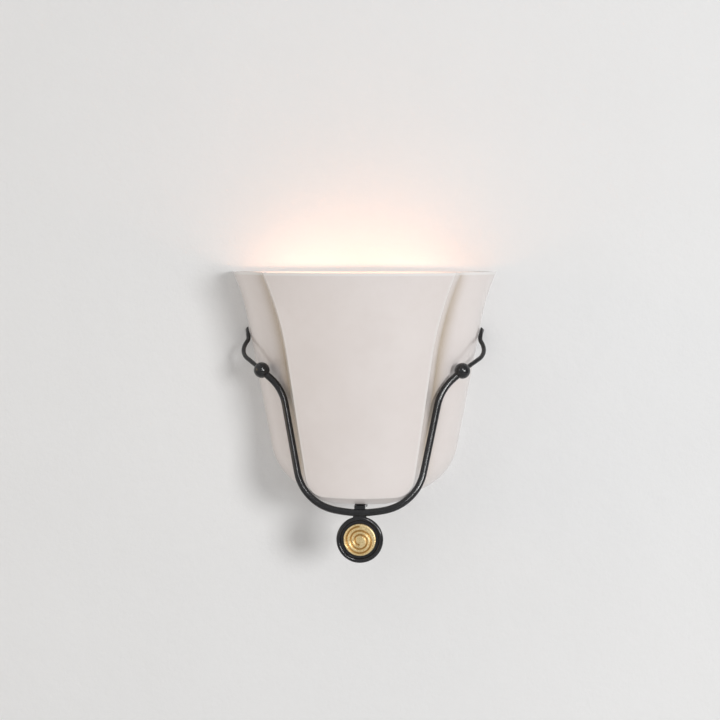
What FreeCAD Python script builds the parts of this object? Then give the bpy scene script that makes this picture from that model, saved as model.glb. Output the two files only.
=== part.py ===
# Shell wall sconce: a glazed ceramic half-tulip shade that throws its light up the wall,
# standing in a forged iron cradle with a gilded spiral medallion.
# Millimetres. +X is to the right as seen from the room, +Y goes into the wall, +Z is up.
# The wall is the plane Y = 0. The origin is the middle of the two wall box screws, on the wall.
import FreeCAD, Part
import math
import os

Vec = FreeCAD.Vector
DEG = math.pi / 180

SIZES = (
    # The shade, a thrown half bowl with a tongue-shaped front panel raised on it
    ("rim_height", 130, "rim above the wall box's middle"),
    ("shade_height", 256.5, "rim to the underside"),
    ("rim_half_width", 152.5, "bowl's half width at the rim"),
    ("rim_bowl_depth", 116, "bowl's depth from the wall at the rim"),
    ("neck_inset", 16.5, "bowl's half width at the rim less its half width where the flare begins"),
    ("neck_drop", 52, "flare's beginning below the rim"),
    ("bowl_lean", 10.6, "bowl wall's slope below the flare, degrees"),
    ("bowl_shoulder", 66, "radius that turns the bowl's wall into its floor"),
    ("front_rim_depth", 150, "front panel's depth from the wall at the rim"),
    ("front_neck_inset", 13, "that depth less its depth where the flare begins"),
    ("front_lean", 8, "front panel's slope below the flare, degrees"),
    ("front_toe", 12, "radius that turns the front panel into the floor"),
    ("front_half_span", 168, "half width of the arch that the front panel's crown follows"),
    ("tongue_half_width", 106.5, "front panel's half width at the rim"),
    ("tongue_neck_inset", 26.3, "that less its half width where its sides turn straight"),
    ("tongue_neck_drop", 90, "that place below the rim"),
    ("tongue_lean", 8.8, "straight sides' slope, degrees"),
    ("toe_rise", 8, "front panel's lowest edge above the underside"),
    ("toe_draft", 40, "slope from that edge down to the underside, degrees"),
    ("toe_run_on", 1.3, "how far down that slope is drawn, as a share of its rise"),
    ("panel_run_on", 1.1, "how far out the panel is drawn, as a share of the rim's depth"),
    ("tongue_toe_arch", 150, "radius of its bottom edge"),
    ("tongue_corner", 28, "radius of its bottom corners"),
    ("tongue_draft", 9, "slope of the step from the ridge to the valley, degrees"),
    ("ridge_round", 1.5, "rounding of the ridge"),
    ("wall_thick", 5, "ceramic wall"),
    ("floor_thick", 6, "ceramic floor"),
    ("back_thick", 5, "ceramic back"),
    ("shade_gap", 1.5, "shade's back to the wall, filled by the felt pads"),
    ("window_half_width", 63, "opening in the back, for the bracket and the wires"),
    ("window_half_height", 46, "the same, up and down"),
    ("window_corner", 12, "its corner radius"),
    ("bar_slot_side", 3, "slot round the foot bar, clearance on each side"),
    ("pad_size", 16, "felt pad's side"),
    ("pad_share_high", 0.66, "upper pads from the middle, as a share of the rim's half width"),
    ("pad_share_low", 0.5, "lower pads, the same"),
    # The iron cradle
    ("bow_rod", 8, "bow's rod"),
    ("bow_setback", 5.4, "bow's foot behind the front panel's face"),
    ("bow_side_gap", 5.5, "bow's foot outside the front panel's edge"),
    ("bow_lean", 11.35, "slope of the bow's straight sides, degrees"),
    ("bow_arch", 135, "radius of the bow's bottom"),
    ("bow_corner", 54, "radius of the bow's lower corners"),
    ("bow_flare", 48, "slope of the bow's ends, degrees"),
    ("bow_bend", 54, "radius of the bend below the ends"),
    ("ball_size", 18, "forged balls"),
    ("ball_drop", 110.5, "balls below the rim"),
    ("ball_inset", 12, "ball's middle inside the bowl's widest line there"),
    ("ball_gap", 2.2, "ball to the glaze"),
    ("bow_gap", 0.3, "bow's ends to the bowl, at the least"),
    ("hook_rod", 5, "side hooks' rod"),
    ("hook_gap", 0.3, "hook to the glaze where it grips"),
    ("hook_grip_drop", 77.5, "hook's grip on the shade, below the rim"),
    ("hook_grip_depth", 12, "the same, from the wall"),
    ("hook_swell", 8.5, "hook's widest point outside its grip"),
    ("hook_swell_drop", 15, "hook's widest point below its grip"),
    ("hook_swell_depth", 17, "hook's widest point in front of its grip"),
    ("hook_turn", 29, "radius of the hook's wide bend"),
    ("hook_tip_turn", 12, "radius of the bend at its grip"),
    ("hook_tip_splay", 3.2, "hook's tip outside its grip"),
    ("hook_tip_rise", 11.5, "hook's flattened tip above its grip"),
    ("hook_tip_back", 6, "hook's tip nearer to the wall than its grip"),
    ("hook_tip_root", 0.35, "share of the tip's length that stays round"),
    ("hook_tip_turn_in", 60, "flat of the tip, turned from facing the room, degrees"),
    ("hook_tip_width", 8, "width of the flattened tip"),
    ("hook_tip_thick", 2, "thickness of the flattened tip"),
    ("bar_width", 12, "foot bar's width"),
    ("bar_thick", 4, "foot bar's thickness"),
    ("bar_bend", 6, "foot bar's inner bend radius at the wall"),
    ("bar_eye", 18, "round eye forged in the foot bar"),
    ("bar_top", 22, "top end of the bar above the wall box's middle"),
    ("bar_overhang", 1.5, "bar's end in front of the bow's middle line"),
    # The ring and its medallion
    ("ring_size", 52, "ring's outer diameter"),
    ("ring_rod", 5, "ring's rod"),
    ("weld_width", 15, "weld between the bow and the ring"),
    ("weld_thick", 4, "its thickness"),
    ("cup_thick", 2, "plate behind the medallion"),
    ("medal_size", 36, "medallion's diameter"),
    ("medal_thick", 3.5, "medallion's thickness"),
    ("medal_edge", 1.2, "rounding of the medallion's edge"),
    ("spiral_start", 14.8, "spiral groove's outer radius"),
    ("spiral_pitch", 4.6, "how far the groove draws in with each turn"),
    ("spiral_groove", 1.3, "groove's radius"),
    ("medal_stud", 3, "threaded stud on the medallion's back"),
    ("medal_nut_flats", 5.5, "nut on that stud, across its flats"),
    ("medal_nut_thick", 2.4, "its thickness"),
    ("medal_stud_play", 0.15, "hole round the stud, all round"),
    # The wall bracket
    ("bracket_long", 112, "bracket's length"),
    ("bracket_wide", 26, "bracket's width"),
    ("bracket_thick", 2, "bracket's thickness"),
    ("box_spacing", 88.9, "wall box screws, apart"),
    ("slot_width", 4.4, "slots for the wall box screws"),
    ("slot_long", 12, "the slots' length"),
    ("wire_hole", 13, "wire hole in the bracket"),
    ("wire_hole_off", 24, "wire hole's middle to the left of the bracket's middle"),
    ("bushing_wall", 1.5, "bushing in the wire hole, its wall"),
    ("bushing_flange", 1.2, "its flange's thickness"),
    ("bushing_lip", 2, "its flange outside the hole"),
    ("ground_off", 24, "ground screw to the right of the bracket's middle"),
    ("strap_screw", 4, "screws that hold the bar to the bracket"),
    ("strap_head", 7, "their heads, and the ground screw's"),
    ("strap_head_tall", 2.5, "the heads' height"),
    ("strap_play", 0.2, "holes in the bar round the screws, all round"),
    ("strap_screw_rise", 7, "their distance above and below the bracket's middle"),
    # The lamp
    ("lamp_depth", 52, "lamp's axis from the wall"),
    ("nipple_size", 8, "threaded tube that clamps the shade and carries the lampholder"),
    ("nipple_bore", 5.5, "its bore"),
    ("nipple_play", 0.3, "holes round the tube, all round"),
    ("foot_pad_thick", 0.8, "rubber pad between the bar and the shade"),
    ("gasket_size", 18, "rubber pads' diameter"),
    ("gasket_thick", 1.5, "rubber pad inside the shade"),
    ("washer_size", 22, "steel washer inside the shade"),
    ("washer_thick", 1.5, "its thickness"),
    ("nut_flats", 13, "lock nut across its flats"),
    ("nut_thick", 4, "lock nut's thickness"),
    ("foot_nut_tall", 4.5, "low cap nut under the bar"),
    ("foot_nut_size", 12, "its diameter"),
    ("foot_nut_skin", 1.5, "metal over its blind thread"),
    ("riser_size", 12, "tube that lifts the lampholder"),
    ("riser_tall", 92.7, "its height"),
    ("nipple_grip", 8, "threaded tube's length in the lampholder's cap"),
    ("cap_size", 38, "lampholder's cap"),
    ("cap_tall", 20, "its height"),
    ("cap_wall", 1, "its wall"),
    ("cap_hub", 14, "its threaded hub"),
    ("holder_size", 40, "lampholder's outer shell"),
    ("holder_tall", 34, "its height"),
    ("holder_wall", 3, "its wall"),
    ("socket_bore", 27, "screw shell's bore"),
    ("socket_wall", 0.5, "screw shell's wall"),
    ("socket_tall", 27, "screw shell's height"),
    ("insulator_thick", 7, "porcelain under the screw shell"),
    ("contact_size", 8, "lampholder's middle contact"),
    ("contact_tall", 2.5, "its height"),
    ("terminal_off", 11, "terminal screws from the lamp's axis"),
    ("terminal_head", 6, "their heads"),
    ("terminal_tall", 2.5, "their heads' height"),
    ("bulb_play", 0.35, "bulb's base in the screw shell, all round"),
    ("bulb_rise", 0.3, "bulb's contact over the lampholder's contact"),
    ("bulb_tip_size", 9, "bulb's contact"),
    ("bulb_tip_tall", 1.8, "its height"),
    ("bulb_seal_tall", 3, "black glass round it"),
    ("bulb_base_tall", 24, "bulb's screw base"),
    ("bulb_base_wall", 0.5, "its metal"),
    ("bulb_neck", 15, "glass neck's radius over the base"),
    ("bulb_neck_rise", 6, "that place above the base"),
    ("bulb_size", 60, "bulb's diameter"),
    ("bulb_tall", 84, "glass above the base"),
    ("bulb_wall", 1, "glass wall"),
    ("stem_size", 8, "glass stem inside the bulb"),
    ("stem_tall", 52, "its height"),
    ("stem_disc", 1.5, "thickness of its foot and of its collar"),
    ("collar_size", 20, "collar that carries the light-giving rods"),
    ("collar_rise", 20, "collar's height on the stem"),
    ("filament_size", 1.6, "light-giving rods"),
    ("filament_long", 28, "their length"),
    ("filament_circle", 15, "circle that they stand on"),
    ("filament_count", 4, "their number"),
)

doc = FreeCAD.newDocument("shell_wall_sconce")
sheet = doc.addObject("Spreadsheet::Sheet", "Sizes")
for row, (alias, number, meaning) in enumerate(SIZES, start=1):
    sheet.set(f"A{row}", meaning)
    sheet.set(f"B{row}", str(number))
    sheet.setAlias(f"B{row}", alias)
doc.recompute()

# Rules that many pieces share, written on the sheet's own names.
FLOOR = "(Sizes.rim_height - Sizes.shade_height)"
BAR_TOP_FACE = f"({FLOOR} - Sizes.foot_pad_thick)"
BAR_UNDERSIDE = f"({BAR_TOP_FACE} - Sizes.bar_thick)"
INNER_FLOOR = f"({FLOOR} + Sizes.floor_thick)"
GASKET_TOP = f"({INNER_FLOOR} + Sizes.gasket_thick)"
WASHER_TOP = f"({GASKET_TOP} + Sizes.washer_thick)"
NUT_TOP = f"({WASHER_TOP} + Sizes.nut_thick)"
RISER_TOP = f"({NUT_TOP} + Sizes.riser_tall)"
CAP_TOP = f"({RISER_TOP} + Sizes.cap_tall)"
INSULATOR_TOP = f"({CAP_TOP} + Sizes.insulator_thick)"
BULB_TIP = f"({INSULATOR_TOP} + Sizes.contact_tall + Sizes.bulb_rise)"
BULB_SEAL = f"({BULB_TIP} + Sizes.bulb_tip_tall)"
BULB_BASE = f"({BULB_SEAL} + Sizes.bulb_seal_tall)"
BULB_GLASS = f"({BULB_BASE} + Sizes.bulb_base_tall)"
BAR_FACE = "(Sizes.bracket_thick + Sizes.bar_thick)"
TUBE_HOLE = "(Sizes.nipple_size / 2 + Sizes.nipple_play)"

UP = FreeCAD.Rotation()
OUT_OF_WALL = FreeCAD.Rotation(Vec(1, 0, 0), 90)


def value(rule):
    """A rule's number, read from the sheet."""
    return float(sheet.evalExpression(rule))


def size(alias):
    return float(sheet.get(alias))


def bind(thing, rules):
    """Ties each property of a piece to its rule."""
    for prop, rule in rules.items():
        thing.setExpression(prop, rule)
    return thing


def place(thing, x="0", depth="0", z="0", turn=UP):
    """Puts a piece at its place; depth is measured out of the wall."""
    thing.Placement = FreeCAD.Placement(Vec(), turn)
    return bind(thing, {"Placement.Base.x": x, "Placement.Base.y": f"-({depth})", "Placement.Base.z": z})


def rod(name, radius, length, turn=UP, **where):
    """A round bar, disc or hole along +Z, or straight out of the wall."""
    thing = doc.addObject("Part::Cylinder", name)
    return place(bind(thing, {"Radius": radius, "Height": length}), turn=turn, **where)


def block(name, length, width, height, x, depth, z):
    """A rectangular bar; x, depth and z are its left, wall-side and lower limits."""
    thing = doc.addObject("Part::Box", name)
    bind(thing, {"Length": length, "Width": width, "Height": height})
    return place(thing, x=x, depth=f"{depth} + {width}", z=z)


def hexagon(name, flats, height, **where):
    thing = doc.addObject("Part::Prism", name)
    thing.Polygon = 6
    return place(bind(thing, {"Circumradius": f"{flats} / sqrt(3)", "Height": height}), **where)


def join(name, *pieces):
    thing = doc.addObject("Part::MultiFuse", name)
    thing.Shapes = list(pieces)
    return thing


def cut(name, base, *tools):
    thing = doc.addObject("Part::Cut", name)
    thing.Base = base
    thing.Tool = tools[0] if len(tools) == 1 else join(f"{name}_tools", *tools)
    return thing


def formed(name, shape):
    """A piece whose curved shape is worked out from the sheet's sizes."""
    thing = doc.addObject("Part::Feature", name)
    thing.Shape = shape
    return thing


PARTS = []


def part(node, thing):
    """Marks a finished sub-part; its label is the sub-part's name."""
    thing.Label = node
    PARTS.append(thing)
    return thing


# ---------------------------------------------------------------- curves

def arc(start, middle, end):
    return Part.Arc(start, middle, end).toShape()


def line(start, end):
    return Part.LineSegment(start, end).toShape()


class Bell:
    """Side view of a bell-shaped wall: flare, straight slope, shoulder and flat floor.
    reach is its radius at the rim and neck the radius where the flare begins. An inset draws
    the same bell inside itself, a wall's thickness in."""

    def __init__(self, reach, neck, lean, shoulder, inset=0.0, floor_rise=0.0):
        rim = size("rim_height")
        self.slope = lean * DEG
        c, s = math.cos(self.slope), math.sin(self.slope)
        neck_z = rim - size("neck_drop")
        run, rise = reach - neck, rim - neck_z
        self.flare = (run ** 2 + rise ** 2) / (2 * (c * run - s * rise)) + inset
        self.flare_x = neck + (self.flare - inset) * c
        self.flare_z = neck_z - (self.flare - inset) * s
        self.neck = (self.flare_x - self.flare * c, self.flare_z + self.flare * s)
        self.rim = (self.radius_on_flare(rim), rim)
        self.floor = rim - size("shade_height") + floor_rise
        self.turn = shoulder - inset
        along = (self.neck[1] + self.turn * s - self.floor - self.turn) / c
        self.heel = (self.neck[0] - along * s, self.neck[1] - along * c)
        self.hub = (self.heel[0] - self.turn * c, self.floor + self.turn)

    def radius_on_flare(self, z):
        return self.flare_x - math.sqrt(self.flare ** 2 - (z - self.flare_z) ** 2)

    def radius(self, z):
        """The bell's radius at any height down to its shoulder."""
        if z > self.neck[1]:
            return self.radius_on_flare(z)
        return self.neck[0] - (self.neck[1] - z) * math.tan(self.slope)

    def face(self, lift=0.0):
        """The closed side view, carried straight up over the rim by lift."""
        def at(x, z):
            return Vec(x, 0, z)
        half = (math.pi / 2 + self.slope) / 2
        shoulder_mid = at(self.hub[0] + self.turn * math.cos(half), self.hub[1] - self.turn * math.sin(half))
        mid_z = (self.neck[1] + self.rim[1]) / 2
        edges = [
            line(at(0, self.floor), at(self.hub[0], self.floor)),
            arc(at(self.hub[0], self.floor), shoulder_mid, at(*self.heel)),
            line(at(*self.heel), at(*self.neck)),
            arc(at(*self.neck), at(self.radius_on_flare(mid_z), mid_z), at(*self.rim)),
        ]
        top = self.rim[1] + lift
        if lift:
            edges.append(line(at(*self.rim), at(self.rim[0], top)))
        edges.append(line(at(self.rim[0], top), at(0, top)))
        edges.append(line(at(0, top), at(0, self.floor)))
        return Part.Face(Part.Wire(edges))

    def half_turn(self, across, out, lift=0.0):
        """The bell spun half round the wall's line, then stretched across and out of the wall."""
        spun = self.face(lift).revolve(Vec(0, 0, 0), Vec(0, 0, 1), -180)
        stretch = FreeCAD.Matrix()
        stretch.A11 = across
        stretch.A22 = out
        return spun.transformGeometry(stretch)


class Tongue:
    """Front view of a hanging loop: a wide arch at the bottom, two corners and two straight
    sides. Heights are measured up from the loop's lowest point."""

    def __init__(self, arch, corner, lean, foot_half, grow=0.0):
        self.arch, self.corner, self.grow = arch, corner, grow
        self.slope = lean * DEG
        c, s = math.cos(self.slope), math.sin(self.slope)
        reach = (foot_half * c + arch * s - corner) / (arch - corner)
        self.arch_end = math.asin(reach) - self.slope
        self.corner_end = math.pi / 2 - self.slope
        swing = arch - corner
        self.hub = (swing * math.sin(self.arch_end), arch - swing * math.cos(self.arch_end))

    def on_arch(self, angle):
        r = self.arch + self.grow
        return (r * math.sin(angle), self.arch - r * math.cos(angle))

    def on_corner(self, angle):
        r = self.corner + self.grow
        return (self.hub[0] + r * math.sin(angle), self.hub[1] - r * math.cos(angle))

    def bottom(self):
        """Points of the right half: lowest point, arch, its end, corner, its end."""
        return (self.on_arch(0), self.on_arch(self.arch_end / 2), self.on_arch(self.arch_end),
                self.on_corner((self.arch_end + self.corner_end) / 2), self.on_corner(self.corner_end))


# ---------------------------------------------------------------- shade

def bowl_form(inset=0.0, floor_rise=0.0):
    rim = size("rim_half_width")
    return Bell(rim, rim - size("neck_inset"), size("bowl_lean"), size("bowl_shoulder"), inset, floor_rise)


def front_form(inset=0.0, floor_rise=0.0):
    rim = size("front_rim_depth")
    return Bell(rim, rim - size("front_neck_inset"), size("front_lean"), size("front_toe"), inset, floor_rise)


BOWL = bowl_form()
FRONT = front_form()
BOWL_RATIO = size("rim_bowl_depth") / size("rim_half_width")
RIM = size("rim_height")
UNDERSIDE = value(FLOOR)
TONGUE_NECK = size("tongue_half_width") - size("tongue_neck_inset")
RIDGE_DEPTH = FRONT.heel[0]

TOE_DROP = size("shade_height") - size("toe_rise")


def tongue_wire(depth, grow, sink):
    """The front panel's outline at one depth, closed well above the rim. grow pushes the whole
    outline outwards, and sink lowers its bottom."""
    toe, neck_drop = TOE_DROP + sink, size("tongue_neck_drop")
    neck, half = TONGUE_NECK, size("tongue_half_width")
    slope = size("tongue_lean") * DEG
    c, s = math.cos(slope), math.sin(slope)
    foot_half = neck - (toe - neck_drop) * math.tan(slope)
    loop = Tongue(size("tongue_toe_arch"), size("tongue_corner"), size("tongue_lean"), foot_half, grow)
    run = half - neck
    flare = (run ** 2 + neck_drop ** 2) / (2 * (c * run - s * neck_drop))
    hub = (neck + flare * c, toe - neck_drop - flare * s)
    end = math.asin((toe - hub[1]) / flare)

    def on_flare(angle):
        return (hub[0] - (flare - grow) * math.cos(angle), hub[1] + (flare - grow) * math.sin(angle))

    over = toe + neck_drop / 2
    tip = on_flare(end)
    crest = (tip[0] + (over - tip[1]) * math.tan(end), over)
    low, mid_arch, arch_end, mid_corner, corner_end = loop.bottom()
    shoulder = on_flare(slope)
    mid_flare = on_flare((slope + end) / 2)

    def at(point, side):
        return Vec(side * point[0], -depth, RIM - toe + point[1])

    def side_edges(side):
        return [
            arc(at(low, side), at(mid_arch, side), at(arch_end, side)),
            arc(at(arch_end, side), at(mid_corner, side), at(corner_end, side)),
            line(at(corner_end, side), at(shoulder, side)),
            arc(at(shoulder, side), at(mid_flare, side), at(tip, side)),
            line(at(tip, side), at(crest, side)),
        ]
    edges = side_edges(1) + [line(at(crest, 1), at(crest, -1))] + side_edges(-1)[::-1]
    return Part.Wire(Part.__sortEdges__(edges))


def panel_form(inset=0.0, floor_rise=0.0, lift=0.0):
    """The raised front panel: its tongue outline, drafted back to the wall, cut out of the
    wide front bell. Under its lowest edge the outline first drops at a steeper slope to the floor."""
    bell = front_form(inset, floor_rise).half_turn(size("front_half_span") / size("front_rim_depth"), 1, lift)
    side, toe = size("tongue_draft") * DEG, size("toe_draft") * DEG
    skin, toe_skin = inset / math.cos(side), inset / math.cos(toe)
    heel = RIDGE_DEPTH - size("toe_run_on") * size("toe_rise") / math.tan(toe)
    front = size("panel_run_on") * size("front_rim_depth")

    def outline(depth):
        behind = RIDGE_DEPTH - depth
        sink = (RIDGE_DEPTH - max(depth, heel)) * (math.tan(toe) - math.tan(side)) + skin - toe_skin
        return tongue_wire(depth, behind * math.tan(side) - skin, sink)

    steps = Part.makeLoft([outline(front), outline(heel), outline(0)], True, True)
    return steps.common(bell), steps, bell


def on_skin(edge, solid):
    """True where the middle of an edge lies on the skin of a solid."""
    middle = edge.valueAt((edge.FirstParameter + edge.LastParameter) / 2)
    return Part.Compound(solid.Faces).distToShape(Part.Vertex(middle))[0] < 0.02


def is_flat_end(edge):
    """True for edges on the rim, the floor and the back."""
    middle = edge.valueAt((edge.FirstParameter + edge.LastParameter) / 2)
    return min(abs(middle.z - RIM), abs(middle.z - UNDERSIDE), abs(middle.y)) < 0.01


def rounded_window(half_width, half_height, corner, from_depth, to_depth):
    """A rounded rectangle through the shade's back, about the wall box's middle."""
    box = Part.makeBox(2 * half_width, to_depth - from_depth, 2 * half_height,
                       Vec(-half_width, -to_depth, -half_height))
    uprights = [e for e in box.Edges if abs(e.BoundBox.YLength - (to_depth - from_depth)) < 1e-6]
    return box.makeFillet(corner, uprights)


def shade_shape():
    """Bowl and front panel joined, hollowed with the same forms drawn a wall's thickness in,
    set off the wall, and opened at the back and in the floor."""
    wall = size("wall_thick")
    panel, steps, bell = panel_form()
    ridges = [e for e in panel.Edges if not is_flat_end(e) and on_skin(e, bell) and on_skin(e, steps)]
    panel = panel.makeFillet(size("ridge_round"), ridges)
    solid = BOWL.half_turn(1, BOWL_RATIO).fuse(panel)
    inner_rise = size("floor_thick")
    hollow = bowl_form(wall, inner_rise).half_turn(1, BOWL_RATIO, wall)
    hollow = hollow.fuse(panel_form(wall, inner_rise, wall)[0])
    reach = 2 * size("rim_half_width")
    back = size("shade_gap") + size("back_thick")
    hollow = hollow.cut(Part.makeBox(2 * reach, back, 2 * reach, Vec(-reach, -back, -reach)))
    solid = solid.cut(hollow)
    gap = size("shade_gap")
    solid = solid.cut(Part.makeBox(2 * reach, gap, 2 * reach, Vec(-reach, -gap, -reach)))
    window = rounded_window(size("window_half_width"), size("window_half_height"), size("window_corner"),
                            0, back + wall)
    slot_half = size("bar_width") / 2 + size("bar_slot_side")
    slot_depth = size("bracket_thick") + size("bar_thick") + size("bar_bend") + size("bar_slot_side")
    slot = Part.makeBox(2 * slot_half, slot_depth, 1 - UNDERSIDE,
                        Vec(-slot_half, -slot_depth, UNDERSIDE - 1))
    hole = Part.makeCylinder(value(TUBE_HOLE), size("floor_thick") + 2,
                             Vec(0, -size("lamp_depth"), UNDERSIDE - 1))
    return solid.cut(window).cut(slot).cut(hole)


# ---------------------------------------------------------------- iron cradle

def sweep(path, profile):
    return Part.Wire(path).makePipeShell([profile], True, False)


def ring_of(radius, centre, direction):
    return Part.Wire(Part.makeCircle(radius, centre, direction))


def rounded_route(points, radii):
    """Straight runs through the points, joined by tangent arcs at each inner point."""
    edges, start = [], points[0]
    for before, corner, after, radius in zip(points, points[1:], points[2:], radii):
        back = (before - corner).normalize()
        ahead = (after - corner).normalize()
        half = back.getAngle(ahead) / 2
        reach = radius / math.tan(half)
        into, out_of = corner + back * reach, corner + ahead * reach
        inward = (back + ahead).normalize()
        middle = corner + inward * (radius / math.sin(half) - radius)
        edges += [line(start, into), arc(into, middle, out_of)]
        start = out_of
    return edges + [line(start, points[-1])]


ROD = size("bow_rod") / 2
BALL = size("ball_size") / 2
BAR_LOW = value(BAR_UNDERSIDE)
BOW_Z = BAR_LOW - ROD
BOW_DEPTH = RIDGE_DEPTH - size("bow_setback")
BALL_Z = RIM - size("ball_drop")
BALL_X = BOWL.radius(BALL_Z) - size("ball_inset")


def plan_depth(x, z):
    """Depth of the bowl's outside from the wall, at a height above its shoulder."""
    return BOWL_RATIO * math.sqrt(BOWL.radius(z) ** 2 - x ** 2)


def plan_slope(x, z):
    return BOWL_RATIO * x / math.sqrt(BOWL.radius(z) ** 2 - x ** 2)


def clear_depth(x, z, stand_off):
    """Depth at which a round piece stands clear of the bowl by a distance."""
    return plan_depth(x, z) + stand_off * math.hypot(1, plan_slope(x, z))


def bow_foot():
    """Half width of the bow's foot, outside the front panel's bottom edge."""
    straight = TOE_DROP - size("tongue_neck_drop")
    return TONGUE_NECK - straight * math.tan(size("tongue_lean") * DEG) + size("bow_side_gap")


def bow_bend(top):
    """Where the bow's straight side meets its end, for a bow of this height."""
    side_slope, end_slope = math.tan(size("bow_lean") * DEG), math.tan(size("bow_flare") * DEG)
    rise = (BOW_FOOT - BALL_X + end_slope * top) / (end_slope - side_slope)
    return BOW_FOOT + side_slope * rise, rise


def bow_tilt():
    """The bow's slope back to the wall, as steep as the balls and its own ends clear the bowl."""
    top = BALL_Z - BOW_Z
    bend_x, bend_rise = bow_bend(top)
    slopes = [(BOW_DEPTH - clear_depth(BALL_X, BALL_Z, BALL + size("ball_gap"))) / top]
    spots = 8
    for i in range(1, spots):
        x = bend_x + (BALL_X - bend_x) * i / spots
        rise = bend_rise + (top - bend_rise) * i / spots
        slopes.append((BOW_DEPTH - clear_depth(x, BOW_Z + rise, ROD + size("bow_gap"))) / rise)
    return math.atan(min(slopes))


BOW_FOOT = bow_foot()
BOW_TILT = bow_tilt()
BALL_DEPTH = BOW_DEPTH - (BALL_Z - BOW_Z) * math.tan(BOW_TILT)


def on_bow(x, rise):
    """A point of the bow's own tilted plane; rise is measured up the plane."""
    return Vec(x, -BOW_DEPTH + rise * math.sin(BOW_TILT), BOW_Z + rise * math.cos(BOW_TILT))


def ball_centre(side):
    return Vec(side * BALL_X, -BALL_DEPTH, BALL_Z)


def bow_half(side):
    """Half of the bow's middle line, from its lowest point to the ball."""
    loop = Tongue(size("bow_arch"), size("bow_corner"), size("bow_lean"), BOW_FOOT)
    low, mid_arch, arch_end, mid_corner, corner_end = loop.bottom()
    top = (BALL_Z - BOW_Z) / math.cos(BOW_TILT)
    bend = bow_bend(top)

    def at(x, rise):
        return on_bow(side * x, rise)
    edges = [arc(at(*low), at(*mid_arch), at(*arch_end)),
             arc(at(*arch_end), at(*mid_corner), at(*corner_end))]
    points = [at(*corner_end), at(*bend), at(BALL_X, top)]
    return edges + rounded_route(points, [size("bow_bend")])


def ball_shape(side, swell=0.0):
    return Part.makeSphere(BALL + swell, ball_centre(side))


def bow_shape():
    """One round rod bent to the front panel's outline, butted to the two balls."""
    route = Part.__sortEdges__(bow_half(-1)[::-1] + bow_half(1))
    start = route[0].valueAt(route[0].FirstParameter)
    rod_end = ring_of(ROD, start, route[0].tangentAt(route[0].FirstParameter))
    return sweep(route, rod_end).cut(ball_shape(1)).cut(ball_shape(-1))


def hook_points(side):
    """The hook's route: out of the ball, round the lobe, in to its grip, out to its tip."""
    grip_z = RIM - size("hook_grip_drop")
    grip_depth = size("hook_grip_depth")
    stand_off = size("hook_rod") / 2 + size("hook_gap")
    edge_x = BOWL.radius(grip_z) * math.sqrt(1 - (grip_depth / (BOWL_RATIO * BOWL.radius(grip_z))) ** 2)
    grip = Vec(edge_x + stand_off, -grip_depth, grip_z)
    tip = grip + Vec(size("hook_tip_splay"), size("hook_tip_back"), size("hook_tip_rise"))
    swell = grip + Vec(size("hook_swell"), -size("hook_swell_depth"), -size("hook_swell_drop"))
    return [Vec(side * p.x, p.y, p.z) for p in (ball_centre(1), swell, grip, tip)]


def hook_shape(side):
    """A thin rod that runs from the ball round the shade, with a hammered fishtail tip."""
    ball, swell, grip, tip = hook_points(side)
    radius = size("hook_rod") / 2
    aim = (tip - grip).normalize()
    neck = grip + aim * (tip - grip).Length * size("hook_tip_root")
    route = rounded_route([ball, swell, grip, neck], [size("hook_turn"), size("hook_tip_turn")])
    stem = sweep(route, ring_of(radius, ball, swell - ball))
    twist = size("hook_tip_turn_in") * DEG
    flat_way = Vec(side * math.cos(twist), math.sin(twist), 0)
    flat_way = (flat_way - aim * flat_way.dot(aim)).normalize()
    across = aim.cross(flat_way)
    long_half, thin_half = size("hook_tip_width") / 2, size("hook_tip_thick") / 2
    tip_oval = Part.Ellipse(tip + flat_way * long_half, tip + across * thin_half, tip)
    fishtail = Part.makeLoft([ring_of(radius, neck, aim), Part.Wire(tip_oval.toShape())], True, True)
    return stem.fuse(fishtail).cut(ball_shape(side))


def foot_bar_shape():
    """One flat bar: up the wall behind the shade, a bend, and a leg under the shade that
    widens into a forged eye for the lamp's threaded tube and ends over the bow."""
    half = size("bar_width") / 2
    back = size("bracket_thick")
    thick, bend = size("bar_thick"), size("bar_bend")
    face, leg_top = back + thick, BAR_LOW + thick
    hub_depth, hub_z = face + bend, leg_top + bend
    end, top = BOW_DEPTH + size("bar_overhang"), size("bar_top")
    slant = math.sqrt(0.5)

    def at(depth, z):
        return Vec(-half, -depth, z)

    def on_bend(radius):
        return at(hub_depth - radius * slant, hub_z - radius * slant)
    side = Part.Wire([
        line(at(back, top), at(back, hub_z)),
        arc(at(back, hub_z), on_bend(bend + thick), at(hub_depth, BAR_LOW)),
        line(at(hub_depth, BAR_LOW), at(end, BAR_LOW)),
        line(at(end, BAR_LOW), at(end, leg_top)),
        line(at(end, leg_top), at(hub_depth, leg_top)),
        arc(at(hub_depth, leg_top), on_bend(bend), at(face, hub_z)),
        line(at(face, hub_z), at(face, top)),
        line(at(face, top), at(back, top)),
    ])
    bar = Part.Face(side).extrude(Vec(2 * half, 0, 0))
    lamp = Vec(0, -size("lamp_depth"), BAR_LOW)
    bar = bar.fuse(Part.makeCylinder(size("bar_eye") / 2, thick, lamp)).removeSplitter()
    bar = bar.cut(Part.makeCylinder(value(TUBE_HOLE), thick, lamp))
    screw_hole = size("strap_screw") / 2 + size("strap_play")
    for rise in (size("strap_screw_rise"), -size("strap_screw_rise")):
        bar = bar.cut(Part.makeCylinder(screw_hole, thick, Vec(0, -back, rise), Vec(0, -1, 0)))
    return bar.cut(bow_shape())


RING_Z = BOW_Z - ROD - size("ring_size") / 2
RING_MIDDLE = size("ring_size") / 2 - size("ring_rod") / 2
RING_CENTRE = Vec(0, -BOW_DEPTH, RING_Z)


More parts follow.
